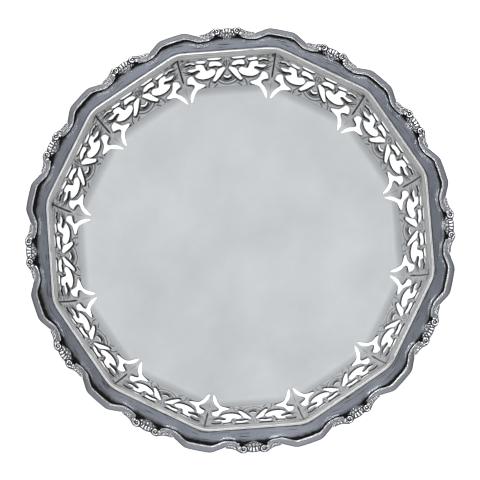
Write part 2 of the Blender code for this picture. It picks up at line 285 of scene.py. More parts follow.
def make_piece(name, points, faces, materials, slot, nodes, sharp=30, walls=0, **attributes):
    """One piece from points in millimetres, with a float attribute for each named array.

    The last faces, as many as walls says, take the second material.
    """
    mesh = bpy.data.meshes.new(name)
    mesh.from_pydata([tuple(p) for p in np.asarray(points) * MM], [], faces)
    mesh.shade_smooth()
    mesh.set_sharp_from_angle(angle=math.radians(sharp))
    for key, values in attributes.items():
        values = np.asarray(values, np.float32)
        kind = "FLOAT_VECTOR" if values.ndim == 2 else "FLOAT"
        attribute = mesh.attributes.new(key, kind, "POINT")
        attribute.data.foreach_set("vector" if values.ndim == 2 else "value", values.ravel())
    for material in materials:
        mesh.materials.append(material)
    which = np.zeros(len(mesh.polygons), np.int32)
    which[len(which) - walls:] = 1
    mesh.polygons.foreach_set("material_index", which)
    return place_piece(name, mesh, nodes)


def place_piece(name, mesh, nodes):
    """Puts a mesh in the scene on the dish's body, in place of these nodes of the frame."""
    piece = bpy.data.objects.new(name, mesh)
    bpy.context.scene.collection.objects.link(piece)
    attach(piece, "root")
    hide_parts(*nodes)
    return piece


def repeat_round(piece, stem, ending):
    """The other eleven copies of a piece, each turned into its place round the dish."""
    for k in range(1, SIDES):
        mesh = piece.data.copy()
        mesh.transform(Matrix.Rotation(k * STEP, 4, "Z"))
        node = f"{stem}_{k + 1:02d}"
        place_piece(f"{node}_{ending}", mesh, [node])


def dirt_and_shade_to_one_side(stem, ending):
    """Painted shade of one side: makes the soot and grime of twelve copies lighter away from one side of the
    dish.
    """
    for k in range(SIDES):
        mesh = bpy.data.objects[f"{stem}_{k + 1:02d}_{ending}"].data
        heavy = 0.5 + 0.5 * math.cos(k * STEP - PANEL_SHADE_BEARING)
        for name, least in (("soot", LEAST_SOOT_AND_SHADE), ("grimy", LEAST_GRIME_AND_SHADE)):
            data = mesh.attributes[name].data
            values = np.empty(len(data), np.float32)
            data.foreach_get("value", values)
            data.foreach_set("value", values * (least + (1 - least) * heavy))


def loft(rows, close_rows, close_section):
    """Faces between rows of points: an array (row, point, 3), whose ends can be joined."""
    count, width = rows.shape[:2]
    faces = []
    for i in range(count if close_rows else count - 1):
        n = (i + 1) % count
        for j in range(width if close_section else width - 1):
            m = (j + 1) % width
            faces.append((i * width + j, n * width + j, n * width + m, i * width + m))
    if not close_rows:
        faces.append(tuple(range(width)))
        faces.append(tuple((count - 1) * width + j for j in reversed(range(width))))
    return rows.reshape(-1, 3), faces


def cut_sheet(gap, closed=False):
    """The part of a grid where gap is positive, cut along its edge.

    Each point of it lies between two points of the grid. This returns the numbers of the first ones, those
    of the second ones, the shares of the second ones, and the faces. closed joins the last column to the
    first.
    """
    columns, rows = gap.shape
    solid = gap > 0
    ids, table = {}, []

    def point(a, b=None):
        """The number of grid point a, or of the place between a and b where gap is 0."""
        key = (a, b)
        if key not in ids:
            ids[key] = len(table)
            if b is None:
                table.append((a, a, 0.0))
            else:
                ga, gb = gap.flat[a], gap.flat[b]
                table.append((a, b, ga / (ga - gb)))
        return ids[key]

    faces = []
    for i in range(columns if closed else columns - 1):
        n = (i + 1) % columns
        for j in range(rows - 1):
            corners = (i * rows + j, n * rows + j, n * rows + j + 1, i * rows + j + 1)
            inside = [bool(solid.flat[c]) for c in corners]
            if not any(inside):
                continue
            face = []
            following = corners[1:] + corners[:1]
            for a, b, in_a, in_b in zip(corners, following, inside, inside[1:] + inside[:1]):
                if in_a:
                    face.append(point(a))
                if in_a != in_b:
                    face.append(point(min(a, b), max(a, b)))
            if len(face) > 2:
                faces.append(tuple(face))
    table = np.array(table)
    first, second, share = table[:, 0].astype(int), table[:, 1].astype(int), table[:, 2]
    return first, second, share, faces


def thickened(faces, count):
    """The faces, those of the back, count points further on, and the walls between; and how many walls."""
    directed = set()
    for face in faces:
        directed.update(zip(face, face[1:] + face[:1]))
    walls = [(b, a, a + count, b + count) for a, b in sorted(directed) if (b, a) not in directed]
    backs = [tuple(i + count for i in reversed(face)) for face in faces]
    return faces + backs + walls, len(walls)


# Materials


class Nodes:
    """A short way to write a node tree."""

    def __init__(self, name):
        self.material = bpy.data.materials.new(name)
        self.material.use_nodes = True
        self.tree = self.material.node_tree
        self.shader = self.tree.nodes["Principled BSDF"]

    def new(self, kind, **inputs):
        node = self.tree.nodes.new("ShaderNode" + kind)
        for key, value in inputs.items():
            socket = node.inputs[int(key[1:])] if key[1:].isdigit() else node.inputs[key.replace("_", " ")]
            self.put(socket, value)
        return node

    def put(self, socket, value):
        if isinstance(value, bpy.types.NodeSocket):
            self.tree.links.new(value, socket)
        else:
            socket.default_value = value

    def attribute(self, name, vector=False):
        node = self.new("Attribute")
        node.attribute_name = name
        return node.outputs["Vector" if vector else "Fac"]

    def math(self, operation, a, b=0.0, clamp=False):
        node = self.new("Math", _0=a, _1=b)
        node.operation = operation
        node.use_clamp = clamp
        return node.outputs[0]

    def mix(self, factor, a, b):
        node = self.new("Mix")
        node.data_type = "RGBA"
        self.put(node.inputs[0], factor)
        self.put(node.inputs[6], a)
        self.put(node.inputs[7], b)
        return node.outputs[2]

    def noise(self, vector, scale, detail=3.0, rough=0.5):
        return self.new("TexNoise", Vector=vector, Scale=scale, Detail=detail, Roughness=rough).outputs["Fac"]

    def ramp(self, value, low, high, to_low=0.0, to_high=1.0):
        node = self.new("MapRange", _0=value, _1=low, _2=high, _3=to_low, _4=to_high)
        return node.outputs[0]

    def stretched(self, vector, scale):
        node = self.new("Mapping", Vector=vector)
        node.inputs["Scale"].default_value = scale
        return node.outputs[0]

    def bump(self, height, distance, strength=1.0, normal=None):
        node = self.new("Bump", Height=height, Distance=distance, Strength=strength)
        if normal is not None:
            self.put(node.inputs["Normal"], normal)
        return node.outputs[0]


DARK = (0.035, 0.033, 0.03, 1)
BROWN = (0.33, 0.23, 0.12, 1)
# colours of the painted shade on the saw-cut edges of the piercing
EDGE_SHADE_DARK, EDGE_SHADE_LIGHT = (0.008, 0.008, 0.008, 1), (0.04, 0.035, 0.03, 1)

# Scales of the noises, in waves per metre; the last three follow a piece's track, along and across
CLOUDS, SPECKS, GRAIN = 22.0, 420.0, 900.0
STREAKS, DASHES, TEETH = (90.0, 2600.0, 1.0), (70.0, 1100.0, 1.0), (240.0, 300.0, 1.0)
BUMP = 0.00002  # height of the scratches and the grain in metres


def silver(name, shade, rough, rough_swing, scratch, cloud, grime=0.0, metallic=1.0):
    """Silver, blackened by the piece's soot and painted shade, browned by its tarnish and scratched along its
    track.

    cloud is how much darker its cloudy patches are, and grime how dark the mottled dirt and painted shade are
    where they lie.
    """
    n = Nodes(name)
    where = n.new("TexCoord").outputs["Object"]
    track = n.attribute("track", vector=True)
    clouds = n.noise(where, CLOUDS, 4.0)
    grain = n.noise(where, GRAIN, 2.0)
    streaks = n.noise(n.stretched(track, STREAKS), 1.0, 3.0, 0.6)
    dashes = n.noise(n.stretched(track, DASHES), 1.0, 2.0)
    teeth = n.noise(n.stretched(track, TEETH), 1.0, 2.0)

    scratched = n.ramp(streaks, 0.5, 0.8, 0.0, scratch * 6)
    lightness = n.math("SUBTRACT", n.ramp(clouds, 0.3, 0.7), scratched, clamp=True)
    tint = n.mix(lightness, (*[c * (1 - cloud) for c in shade], 1), (*shade, 1))

    # the edge of the soot and painted shade is a little ragged, and grime and dark dashes add to it
    ragged = n.math("ADD", n.attribute("soot"), n.ramp(teeth, 0.3, 0.7, -0.10, 0.10))
    patches = n.ramp(n.noise(where, SPECKS, 3.0, 0.6), 0.45, 0.6, 0.0, grime)
    mottle = n.math("MULTIPLY", patches, n.attribute("grimy"))
    marks = n.ramp(dashes, 0.60, 0.67, 0.0, scratch * 9)
    dirt_and_shade = n.math("MAXIMUM", mottle, marks)
    soot = n.math("MAXIMUM", n.ramp(ragged, 0.25, 0.75), dirt_and_shade, clamp=True)
    spots = n.ramp(n.noise(where, SPECKS, 3.0), 0.35, 0.65)
    tarnish = n.math("MULTIPLY", n.attribute("tarnish"), spots, clamp=True)
    n.put(n.shader.inputs["Base Color"], n.mix(soot, n.mix(tarnish, tint, BROWN), DARK))
    n.shader.inputs["Metallic"].default_value = metallic

    cloudy = n.ramp(clouds, 0.3, 0.7, rough - rough_swing, rough + rough_swing)
    worn = n.math("ADD", cloudy, n.ramp(streaks, 0.45, 0.75, 0.0, scratch))
    dull = n.math("MULTIPLY", soot, 0.35)
    n.put(n.shader.inputs["Roughness"], n.math("ADD", worn, dull, clamp=True))
    n.put(n.shader.inputs["Normal"], n.bump(streaks, BUMP, 0.25 + scratch, n.bump(grain, BUMP, 0.15)))
    return n.material


def cut_edge_shade(name):
    """Painted shade on the saw-cut edges of the piercing, in black-brown."""
    n = Nodes(name)
    where = n.new("TexCoord").outputs["Object"]
    n.put(n.shader.inputs["Base Color"], n.mix(n.noise(where, 700.0), EDGE_SHADE_DARK, EDGE_SHADE_LIGHT))
    n.shader.inputs["Metallic"].default_value = 0.6
    n.shader.inputs["Roughness"].default_value = 0.5
    return n.material


SATIN = silver("satin_silver", (0.915, 0.94, 0.93), 0.60, 0.03, 0.0, 0.19, metallic=0.35)
GALLERY = silver("gallery_silver", (0.97, 0.97, 0.96), 0.32, 0.05, 0.05, 0.06, 0.85, metallic=0.5)
RAIL = silver("rail_silver", (0.95, 0.93, 0.89), 0.34, 0.04, 0.06, 0.04, metallic=0.6)
FLANGE = silver("flange_silver", (0.93, 0.96, 1.0), 0.23, 0.02, 0.10, 0.20)
BORDER = silver("border_silver", (0.92, 0.925, 0.93), 0.27, 0.02, 0.0, 0.03)
CAST = silver("cast_silver", (0.97, 0.97, 0.97), 0.27, 0.03, 0.0, 0.03)
CUT_EDGE_SHADE = cut_edge_shade("cut_edge_painted_shade")


# Gallery panels and floor plate


def pattern_gap(side, down):
    """Distance to the nearest opening, positive in the metal; to each one; and the place in the pattern."""
    x, y = np.abs(side), down * PATTERN_LENGTH / PANEL_LENGTH
    beyond = down > PANEL_LENGTH
    y = np.where(beyond, PATTERN_LENGTH + (down - PANEL_LENGTH), y)
    distances = {key: outside(x, y, softened(outline)) - FILE_WIDTH for key, outline in OPENINGS.items()}
    distances["smile"] = outside(side, y, softened(SMILE)) - FILE_WIDTH
    distances["fork"] = outside(x, y, softened(FORK))
    gap = np.minimum.reduce(list(distances.values()))
    return gap, distances, x, y


# Engraved lines of the half pattern: the leaf by the corner, the stile, the palmette and the rosette
ENGRAVED = [
    [(29.0, 12.8), (25.6, 15.0), (22.0, 14.9), (18.4, 13.4)],
    [(28.0, 15.6), (24.8, 15.6), (21.4, 15.6)],
    [(27.6, 10.4), (23.0, 8.6), (21.6, 7.6)],
    [(28.6, 8.6), (25.2, 7.4), (22.4, 7.2)],
    [(28.8, 5.0), (26.4, 3.4), (21.6, 2.2)],
    [(12.2, 6.6), (13.2, 9.2), (13.3, 12.6)],
    [(14.6, 7.4), (14.4, 9.6), (13.6, 12.0)],
    [(0.0, 3.2), (0.0, 8.8)],
    [(1.2, 4.0), (2.2, 6.4), (1.3, 9.4)],
    [(6.8, 24.4), (9.0, 26.4)],
    [(11.0, 21.4), (12.4, 24.0), (12.6, 26.4)],
    [(7.2, 10.2), (8.8, 10.6), (10.2, 10.4)],
]
ROSETTE_DOWN = 16.4
ROSETTE_ARCS = (5.4, 6.4, 8.6)
LINE_HALF, OUTLINE_HALF, ARC_HALF = 0.38, 0.24, 0.36
# Lines engraved round the openings, with their distances from them
OUTLINED = (("scroll", 1.0), ("blade", 0.8), ("bean", 0.8), ("fork", 0.9), ("smile", 0.8))


def engraving(distances, x, y):
    """Depth of the engraved lines, from 0 to 1."""
    depth = np.zeros(x.shape)
    for line in ENGRAVED:
        depth = np.maximum(depth, groove(distance_to_line(x, y, line), LINE_HALF))
    for key, away in OUTLINED:
        depth = np.maximum(depth, 0.9 * groove(distances[key] - away, OUTLINE_HALF))
    out = np.hypot(x, y - ROSETTE_DOWN)
    below = smooth_step(17.5, 19.0, y) * smooth_step(8.6, 7.4, x)
    for radius in ROSETTE_ARCS:
        depth = np.maximum(depth, below * groove(out - radius, ARC_HALF))
    return depth


def relief(gap, carved):
    """Height of the chased surface over the plain sheet: rounded at every opening, cut by the engraving."""
    t = np.clip(gap / RIM_ROUND, 0, 1)
    return -RIM_DROP * (1 - np.sqrt(1 - (1 - t) ** 2)) - ENGRAVED_DEPTH * carved


def panel_soot(edge, above, carved, to_corner, down, pattern_y):
    """Black in the engraving and along the seam at the corner, and painted shade round each opening, heaviest
    on its lower lip, and under the rail.

    edge and above are the distances to the nearest opening from each point and from just above it.
    """
    seam = 1.3 * smooth_step(0.85, 0.4, to_corner) * smooth_step(25.0, 19.0, pattern_y)
    # painted shade under the rail
    head = smooth_step(1.2, 0.2, down)
    # painted shadow on the lower lip of each opening, and painted shade round its rim
    lower_lip_shadow = np.clip(2.0 * (edge - above) / SHADOW_LIP, 0, 1) * smooth_step(0.6, 0.35, edge)
    rim = 0.7 * smooth_step(0.28, 0.05, edge)
    return np.clip(1.1 * carved + seam + np.maximum(lower_lip_shadow, rim) + 0.5 * head, 0, 1)


def panel_piece():
    """The mesh of gallery panel 01; the others are turned copies."""
    cell = 0.36
    across = np.linspace(-1, 1, int(2 * WALL_APOTHEM * CORNER_RATIO / cell))
    downs = np.linspace(GAP, PANEL_LENGTH - CLOSE_GAP / 2, int(PANEL_LENGTH / cell))
    unit, down = np.meshgrid(across, downs, indexing="ij")
    side = unit * (cove(down)[0] * CORNER_RATIO - CLOSE_GAP / 2)
    first, second, share, faces = cut_sheet(pattern_gap(side, down)[0])
    x = side.flat[first] * (1 - share) + side.flat[second] * share
    y = down.flat[first] * (1 - share) + down.flat[second] * share
    gap, distances, half_x, pattern_y = pattern_gap(x, y)
    edge = np.maximum(gap, 0)
    carved = engraving(distances, half_x, pattern_y)
    front = on_side(x, y, -relief(edge, carved), 0.0)
    back = on_side(x, y, np.full(x.shape, SHEET), 0.0)
    to_corner = cove(y)[0] * CORNER_RATIO - half_x
    soot = panel_soot(edge, pattern_gap(x, y - SHADOW_LIP)[0], carved, to_corner, y, pattern_y)
    # the back of the sheet takes painted shade
    back_soot = np.full(x.shape, 0.6)
    # brown tarnish stays in the upper corners, and grime there and in the upper half of the pattern
    corner = smooth_step(9.0, 2.0, to_corner) * smooth_step(6.0, 0.5, y)
    grimy = smooth_step(17.0, 9.0, pattern_y) * (0.8 + 0.9 * corner)
    track = np.stack([x, y, 0 * x], -1) * MM
    faces, walls = thickened(faces, len(x))
    piece = make_piece(
        "gallery_panel_01_pierced", np.vstack([front, back]), faces, [GALLERY, CUT_EDGE_SHADE], "gallery_silver",
        ["gallery_panel_01"], 34, walls, soot=np.concatenate([soot, back_soot]),
        tarnish=np.tile(0.8 * corner, 2), grimy=np.tile(grimy, 2), track=np.tile(track, (2, 1)),
    )
    repeat_round(piece, "gallery_panel", "pierced")
    dirt_and_shade_to_one_side("gallery_panel", "pierced")


panel_piece()

FLOOR_CELL = 0.42
FLOOR_STRIDE = 5  # the flat floor has every fifth column of the fine grid
FLOOR_MIDDLE = 40.0  # inside this apothem the rings of the flat floor lie further apart


def flat_floor(units, turns, per_side, last_row, start, first_down):
    """The rings of the flat floor, and the one face inside them.

    last_row gives the fine grid's innermost point by column, and start numbers the first point of the rings.
    """
    middle = PANEL_LENGTH + MARGIN_LENGTH + FLOOR_APOTHEM
    outer = np.linspace(first_down, middle - FLOOR_MIDDLE, 16)[1:]
    inner = np.linspace(middle - FLOOR_MIDDLE, middle - 2, 6)[1:]
    chosen = [c for c in range(len(units)) if c % per_side % FLOOR_STRIDE == 0]
    down, column = np.meshgrid(np.concatenate([outer, inner]), chosen, indexing="ij")
    side = units[column] * (cove(down)[0] * CORNER_RATIO)
    ids = (start + np.arange(down.size)).reshape(down.shape).tolist()
    faces = []
    for i, c in enumerate(chosen):
        n = (i + 1) % len(chosen)
        stop = chosen[n] if n else len(units)
        rim = [last_row[q % len(units)] for q in range(c, stop + 1)]
        faces.append(tuple(rim + [ids[0][n], ids[0][i]]))
        for ring, following in zip(ids, ids[1:]):
            faces.append((ring[i], ring[n], following[n], following[i]))
    faces.append(tuple(ids[-1]))
    return side.ravel(), down.ravel(), turns[column].ravel(), faces


def well_piece():
    """The floor plate: a fine grid round the forks, and a coarse one over the flat floor."""
    fold_half = FOLD_APOTHEM * CORNER_RATIO
    plain = np.linspace(0, FORK_CLEAR, 9)[:-1]
    fine = np.linspace(FORK_CLEAR, fold_half, 42)
    half = np.concatenate([plain, fine]) / fold_half
    across = np.concatenate([-half[:0:-1], half])[:-1]
    fine_end = PANEL_LENGTH + FORK_END - PATTERN_LENGTH
    fine_rows = np.arange(PANEL_LENGTH + CLOSE_GAP / 2, fine_end, FLOOR_CELL)
    units = np.tile(across, SIDES)
    turns = np.repeat(np.arange(SIDES) * STEP, len(across))
    unit, down = np.meshgrid(units, fine_rows, indexing="ij")
    side = unit * cove(down)[0] * CORNER_RATIO
    first, second, share, faces = cut_sheet(pattern_gap(side, down)[0], closed=True)
    # across the join between two sides the neighbour's column lies at the other end of its own side
    rows = len(fine_rows)
    column_a, column_b = first // rows, second // rows
    turn = turns[column_a]
    unit_b = np.where(turns[column_b] != turn, 1.0, units[column_b])
    y = down.flat[first] * (1 - share) + down.flat[second] * share
    x = (units[column_a] * (1 - share) + unit_b * share) * cove(y)[0] * CORNER_RATIO
    edge = np.maximum(pattern_gap(x, y)[0], 0)
    on_last_row = (share == 0) & (first % rows == rows - 1)
    last_row = {int(column_a[i]): int(i) for i in np.flatnonzero(on_last_row)}
    floor_x, floor_y, floor_turn, floor_faces = flat_floor(
        units, turns, len(across), last_row, len(x), fine_rows[-1]
    )
    x = np.concatenate([x, floor_x])
    y = np.concatenate([y, floor_y])
    turn = np.concatenate([turn, floor_turn])
    edge = np.concatenate([edge, np.full(len(floor_x), 5.0)])
    # a low crease runs on from each corner of the gallery
    to_corner = cove(y)[0] * CORNER_RATIO - np.abs(x)
    below = y - PANEL_LENGTH
    crease = groove(to_corner, 0.45) * smooth_step(17.0, 4.0, below)
    front = on_side(x, y, 0.14 * crease - relief(edge, 0.0), turn)
    back = on_side(x, y, np.full(x.shape, SHEET), turn)
    # painted shade along the fold, in the crease and round each opening
    fold_shade = smooth_step(0.6, 0.1, below) * smooth_step(22.0, 20.0, np.abs(x))
    soot = 0.45 * crease + 0.5 * fold_shade + 0.35 * smooth_step(0.35, 0.0, edge)
    track = front * (MM, MM, 0)
    faces, walls = thickened(faces + floor_faces, len(x))
    make_piece(
        "well_plate_satin", np.vstack([front, back]), faces, [SATIN, CUT_EDGE_SHADE], "satin_silver", ["well_plate"],
        11, walls, soot=np.tile(soot, 2), tarnish=np.zeros(2 * len(x)), track=np.tile(track, (2, 1)),
    )


well_piece()


# Rail and flange


def round_angles(per_side):
    """Angles all round, from corner to corner, closer together near each corner."""
    unit = np.linspace(-1, 1, per_side, endpoint=False)
    bent = np.sin(unit * math.pi / 2) * 0.5 + unit * 0.5
    return np.concatenate([k * STEP + bent * HALF_STEP for k in range(SIDES)])


# Reeds of the rail, from its edge (0) to the gallery (1), as (place, half width, depth), and their soot
RAIL_REEDS = [(0.10, 0.03, 0.16), (0.46, 0.035, 0.22), (0.86, 0.03, 0.20)]
RAIL_LINES = [(0.12, 0.03, 0.5), (0.46, 0.035, 0.5), (0.86, 0.03, 0.65)]
TOP_PARTS, REED_PARTS = np.linspace(1, 0.12, 5), np.linspace(0.02, 1.0, 34)


def rail_piece():
    """The sloping band: a round top edge, then fine reeds down to the gallery."""
    lean = np.array([WALL_APOTHEM - EDGE_APOTHEM, WALL_Z - EDGE_Z])
    length = float(np.hypot(*lean))
    lean /= length
    out = np.array([-lean[1], lean[0]])
    section = []
    # the top leans out a little and is rounded over, from the flange inward
    for part in TOP_PARTS:
        fall = TOP_LEAN * part + 0.10 * (2 * part - 1) ** 4
        section.append((EDGE_APOTHEM + EDGE_TOP_WIDTH * part, EDGE_Z - fall))
    for part in REED_PARTS:
        reeds = sum(depth * groove(part - place, half) for place, half, depth in RAIL_REEDS)
        sunk = reeds - 0.12 * math.sin(math.pi * part) + 0.05
        section.append(tuple(np.array([EDGE_APOTHEM, EDGE_Z]) + lean * length * part + out * sunk))
    section.append((WALL_APOTHEM + out[0] * RAIL_THICKNESS, WALL_Z + out[1] * RAIL_THICKNESS))
    section.append((EDGE_APOTHEM + EDGE_TOP_WIDTH, EDGE_Z - SHEET))
    angles = round_angles(28)
    # the corners are rounded at the top edge and sharp at the gallery
    height = np.array([s[1] for s in section])
    rounding = np.clip((height - WALL_Z) / (EDGE_Z - WALL_Z), 0, 1)
    rows = []
    for angle in angles:
        sharp = np.array([twelve_gon(a, angle) for a, _ in section])
        soft = np.array([twelve_gon(a, angle, CORNER_REACH) for a, _ in section])
        rows.append(polar(sharp + (soft - sharp) * rounding, angle, height))
    points, faces = loft(np.array(rows), True, True)
    down = np.tile(np.linspace(0, 1, len(section)), len(angles))
    track = np.stack([np.repeat(angles * EDGE_APOTHEM, len(section)), down * 9, 0 * down], -1) * MM
    reed_soot = [max(dark * groove(p - place, half) for place, half, dark in RAIL_LINES) for p in REED_PARTS]
    # the reeds keep their dark lines; the back and the underside of the band take painted shade
    soot = np.array([0.0] * len(TOP_PARTS) + reed_soot + [0.5, 0.5])
    corner = np.abs(np.abs(from_middle(np.repeat(angles, len(section)))) - HALF_STEP) * EDGE_APOTHEM
    tarnish = smooth_step(7.0, 1.0, corner) * smooth_step(0.45, 0.85, down)
    make_piece(
        "gallery_rail_reeded", points, faces, [RAIL], "gallery_silver", ["gallery_rail"], 24,
        soot=np.tile(soot, len(angles)), tarnish=0.7 * tarnish, track=track,
    )


rail_piece()


FLANGE_TRACK, BORDER_TRACK = 130.0, 138.0  # radii round which their scratches are measured


def flange_piece():
    """The polished band that falls outward to the border."""
    inner_apothem = EDGE_APOTHEM + EDGE_TOP_WIDTH + GAP
    angles = round_angles(110)
    parts = np.linspace(0, 1, 22)
    # its steepness stays the same over most of the width
    steep = 1 - (1 - FLANGE_END_STEEP) * smooth_step(0.55, 1.0, parts)
    fall = np.concatenate([[0], np.cumsum((steep[1:] + steep[:-1]) / 2)])
    left = 1 - fall / fall[-1]
    rows = []
    for angle in angles:
        inner = twelve_gon(inner_apothem, angle, CORNER_REACH)
        border = border_inner(np.degrees(from_middle(angle + HALF_STEP - BORDER_TURN)))
        radius = inner + (border + GAP - inner) * parts
        z = BORDER_Z - GAP + FLANGE_DROP * left
        # the tuck under the border goes on at the same slope
        under = FLANGE_TUCK * (z[-2] - z[-1]) / (radius[-1] - radius[-2])
        radius, z = np.append(radius, border + FLANGE_TUCK), np.append(z, z[-1] - under)
        radius, z = np.append(radius, radius[::-1]), np.append(z, z[::-1] - SHEET)
        rows.append(polar(radius, angle, z))
    rows = np.array(rows)
    points, faces = loft(rows, True, True)
    width = rows.shape[1]
    across = np.tile(np.concatenate([parts, [1.1, 1.1], parts[::-1]]), len(angles))
    around = np.repeat(angles * FLANGE_TRACK, width)
    # dark patina, with painted shade and painted reflection, lies along the border, in wide crescents inside
    # the bulges, and most of it to one side of the dish
    from_bulge = np.degrees(from_middle(angles + HALF_STEP - BORDER_TURN))
    heavy = 0.5 + 0.5 * np.cos(angles - FLANGE_SHADE_BEARING)
    crescent = 1.7 + (1.2 + 2.4 * heavy) * (1 - smooth_step(2.5, 7.5, np.abs(from_bulge)))
    crescent += (0.8 + 2.6 * heavy) * smooth_step(9.5, 11.5, np.abs(from_bulge))
    inside = np.repeat(border_inner(from_bulge), width) - np.hypot(points[:, 0], points[:, 1])
    soot = np.clip(1.15 - inside / np.repeat(crescent, width), 0, 1)
    # a painted shadow along the flange's inner edge, by the rail
    rail_shadow_line = 0.75 * groove(across - 0.06, 0.05)
    make_piece(
        "flange_polished", points, faces, [FLANGE], "flange_silver", ["flange_plate"], 40,
        soot=np.maximum(soot, rail_shadow_line), tarnish=0 * across,
        track=np.stack([around, across * 10, 0 * across], -1) * MM,
    )


flange_piece()


# Border


# Section of the moulding, as (share of its width from the inner side, height)
LOW_BEAD = [(0.0, 0.0), (0.0, 0.9), (0.015, 1.15), (0.04, 1.3), (0.07, 1.3), (0.095, 1.15), (0.11, 0.9)]
HIGH_BEAD = [(0.20, 1.0), (0.205, 1.7), (0.22, 2.1), (0.245, 2.35), (0.275, 2.45), (0.305, 2.38)]
ROLL = [(0.33, 2.15), (0.345, 2.12), (0.45, 1.97), (0.6, 1.70), (0.74, 1.40), (0.83, 1.10), (0.90, 0.78)]
ROLL_FOOT = [(0.96, 0.4), (1.0, 0.0)]


def moulding_pieces():
    """A low bead, a dark groove, a high bead and a roll that falls outward, swept along the wavy edge."""
    across, height = np.array(LOW_BEAD + HIGH_BEAD + ROLL + ROLL_FOOT).T
    degrees = np.linspace(-MOULDING_HALF, MOULDING_HALF, 90)
    rows = []
    for d in degrees:
        inner, outer = border_inner(d), border_outer(d)
        # the reeds pinch together at the ends, where they run under the volutes
        pinch = 1 - 0.25 * smooth_step(MOULDING_HALF - 1.0, MOULDING_HALF, abs(d))
        turn = HALF_STEP + BORDER_TURN + math.radians(d)
        rows.append(polar(inner + (outer - inner) * across, turn, BORDER_Z + height * pinch))
    points, faces = loft(np.array(rows), False, True)
    # painted shade in the groove and on the high bead's inner flank, in the crease before the roll, on the
    # low bead's inner side and on the low parts by the flange
    moulding_shade = groove(across - 0.16, 0.05) + 0.6 * groove(across - 0.335, 0.012) + (height < 0.55)
    moulding_shade += 0.4 * smooth_step(0.04, 0.0, across)
    soot = np.tile(np.clip(moulding_shade, 0, 1), len(degrees))
    around = np.repeat(np.radians(degrees) * BORDER_TRACK, len(across))
    track = np.stack([around, np.tile(across * 3.4, len(degrees)), 0 * around], -1) * MM
    piece = make_piece(
        "border_moulding_01_reeded", points, faces, [BORDER], "border_silver", ["border_moulding_01"], 35,
        soot=soot, tarnish=0 * soot, track=track,
    )
    repeat_round(piece, "border_moulding", "reeded")


moulding_pieces()

VOLUTE = (6.6, 137.3)  # middle of a volute, as (distance round the rim, radius)
VOLUTE_EYE, VOLUTE_PITCH, VOLUTE_RADIUS = 0.95, 1.5, 2.6
FLUTE_WIDTH = 1.75
KNOBS = [(0.0, 134.6, 1.35), (2.5, 134.9, 1.15)]  # (distance round the rim, radius, size)
SHELL_FAN = 9.0  # the flutes spread from this far inside the middle of the border
LEAF_START, LEAF_WIDTH, LEAF_RADIUS = 8.9, 1.75, 136.4
SHELL_CELL = 0.24


def lobes(phase):
    """Section of a row of rounded lobes, one for each unit of phase, and how deep in a gap a point is."""
    u = np.abs((phase + 0.5) % 1 - 0.5) * 2
    return 1 - 0.85 * u**4, smooth_step(0.64, 0.9, u)


def shell_relief(around, radius):
    """Height and painted shade in the hollows of the cast shell: a fluted fan, two volutes and two leaf
    sprays.
    """
    x = np.abs(around)
    rho = np.hypot(x - VOLUTE[0], radius - VOLUTE[1])
    phi = np.arctan2(radius - VOLUTE[1], VOLUTE[0] - x)
    coil, coil_gap = lobes((rho - VOLUTE_EYE) / VOLUTE_PITCH - 0.45 - 0.35 * phi / math.pi)
    in_eye = smooth_step(VOLUTE_EYE, VOLUTE_EYE - 0.25, rho)
    eye = 2.1 + 0.8 * np.sqrt(np.clip(1 - (rho / VOLUTE_EYE) ** 2, 0, 1))
    volute = (1 - in_eye) * (1.1 + 1.2 * coil) + in_eye * eye
    volute_gap = np.maximum((1 - in_eye) * coil_gap, groove(rho - VOLUTE_EYE, 0.28))
    in_volute = smooth_step(VOLUTE_RADIUS, VOLUTE_RADIUS - 0.3, rho)
    flute, fan_gap = lobes(around / FLUTE_WIDTH * SHELL_FAN / (radius - SHELL_RADIUS + SHELL_FAN))
    fan = 0.7 + 1.4 * flute
    for knob_x, knob_radius, knob_size in KNOBS:
        out = np.hypot(x - knob_x, radius - knob_radius) / knob_size
        ball = np.sqrt(np.clip(1 - out * out, 0, 1))
        over = smooth_step(1.05, 0.95, out)
        fan = fan * (1 - over) + (1.3 + 1.4 * ball) * over
        fan_gap = np.maximum(fan_gap * (1 - over), 0.9 * groove(out - 1.08, 0.16))
    in_spray = smooth_step(8.6, 9.4, x)
    leaf, leaf_gap = lobes((x - LEAF_START + 0.8 * (radius - LEAF_RADIUS)) / LEAF_WIDTH)
    spray = 0.7 + 1.3 * leaf * smooth_step(20.0, 15.0, x)
    height = fan * (1 - in_volute) + volute * in_volute
    height = height * (1 - in_spray) + spray * in_spray
    hollow = np.maximum(fan_gap * (1 - in_volute), in_volute * volute_gap)
    hollow = np.maximum(hollow, groove(rho - VOLUTE_RADIUS, 0.32))
    hollow = hollow * (1 - in_spray) + in_spray * leaf_gap
    return height, hollow


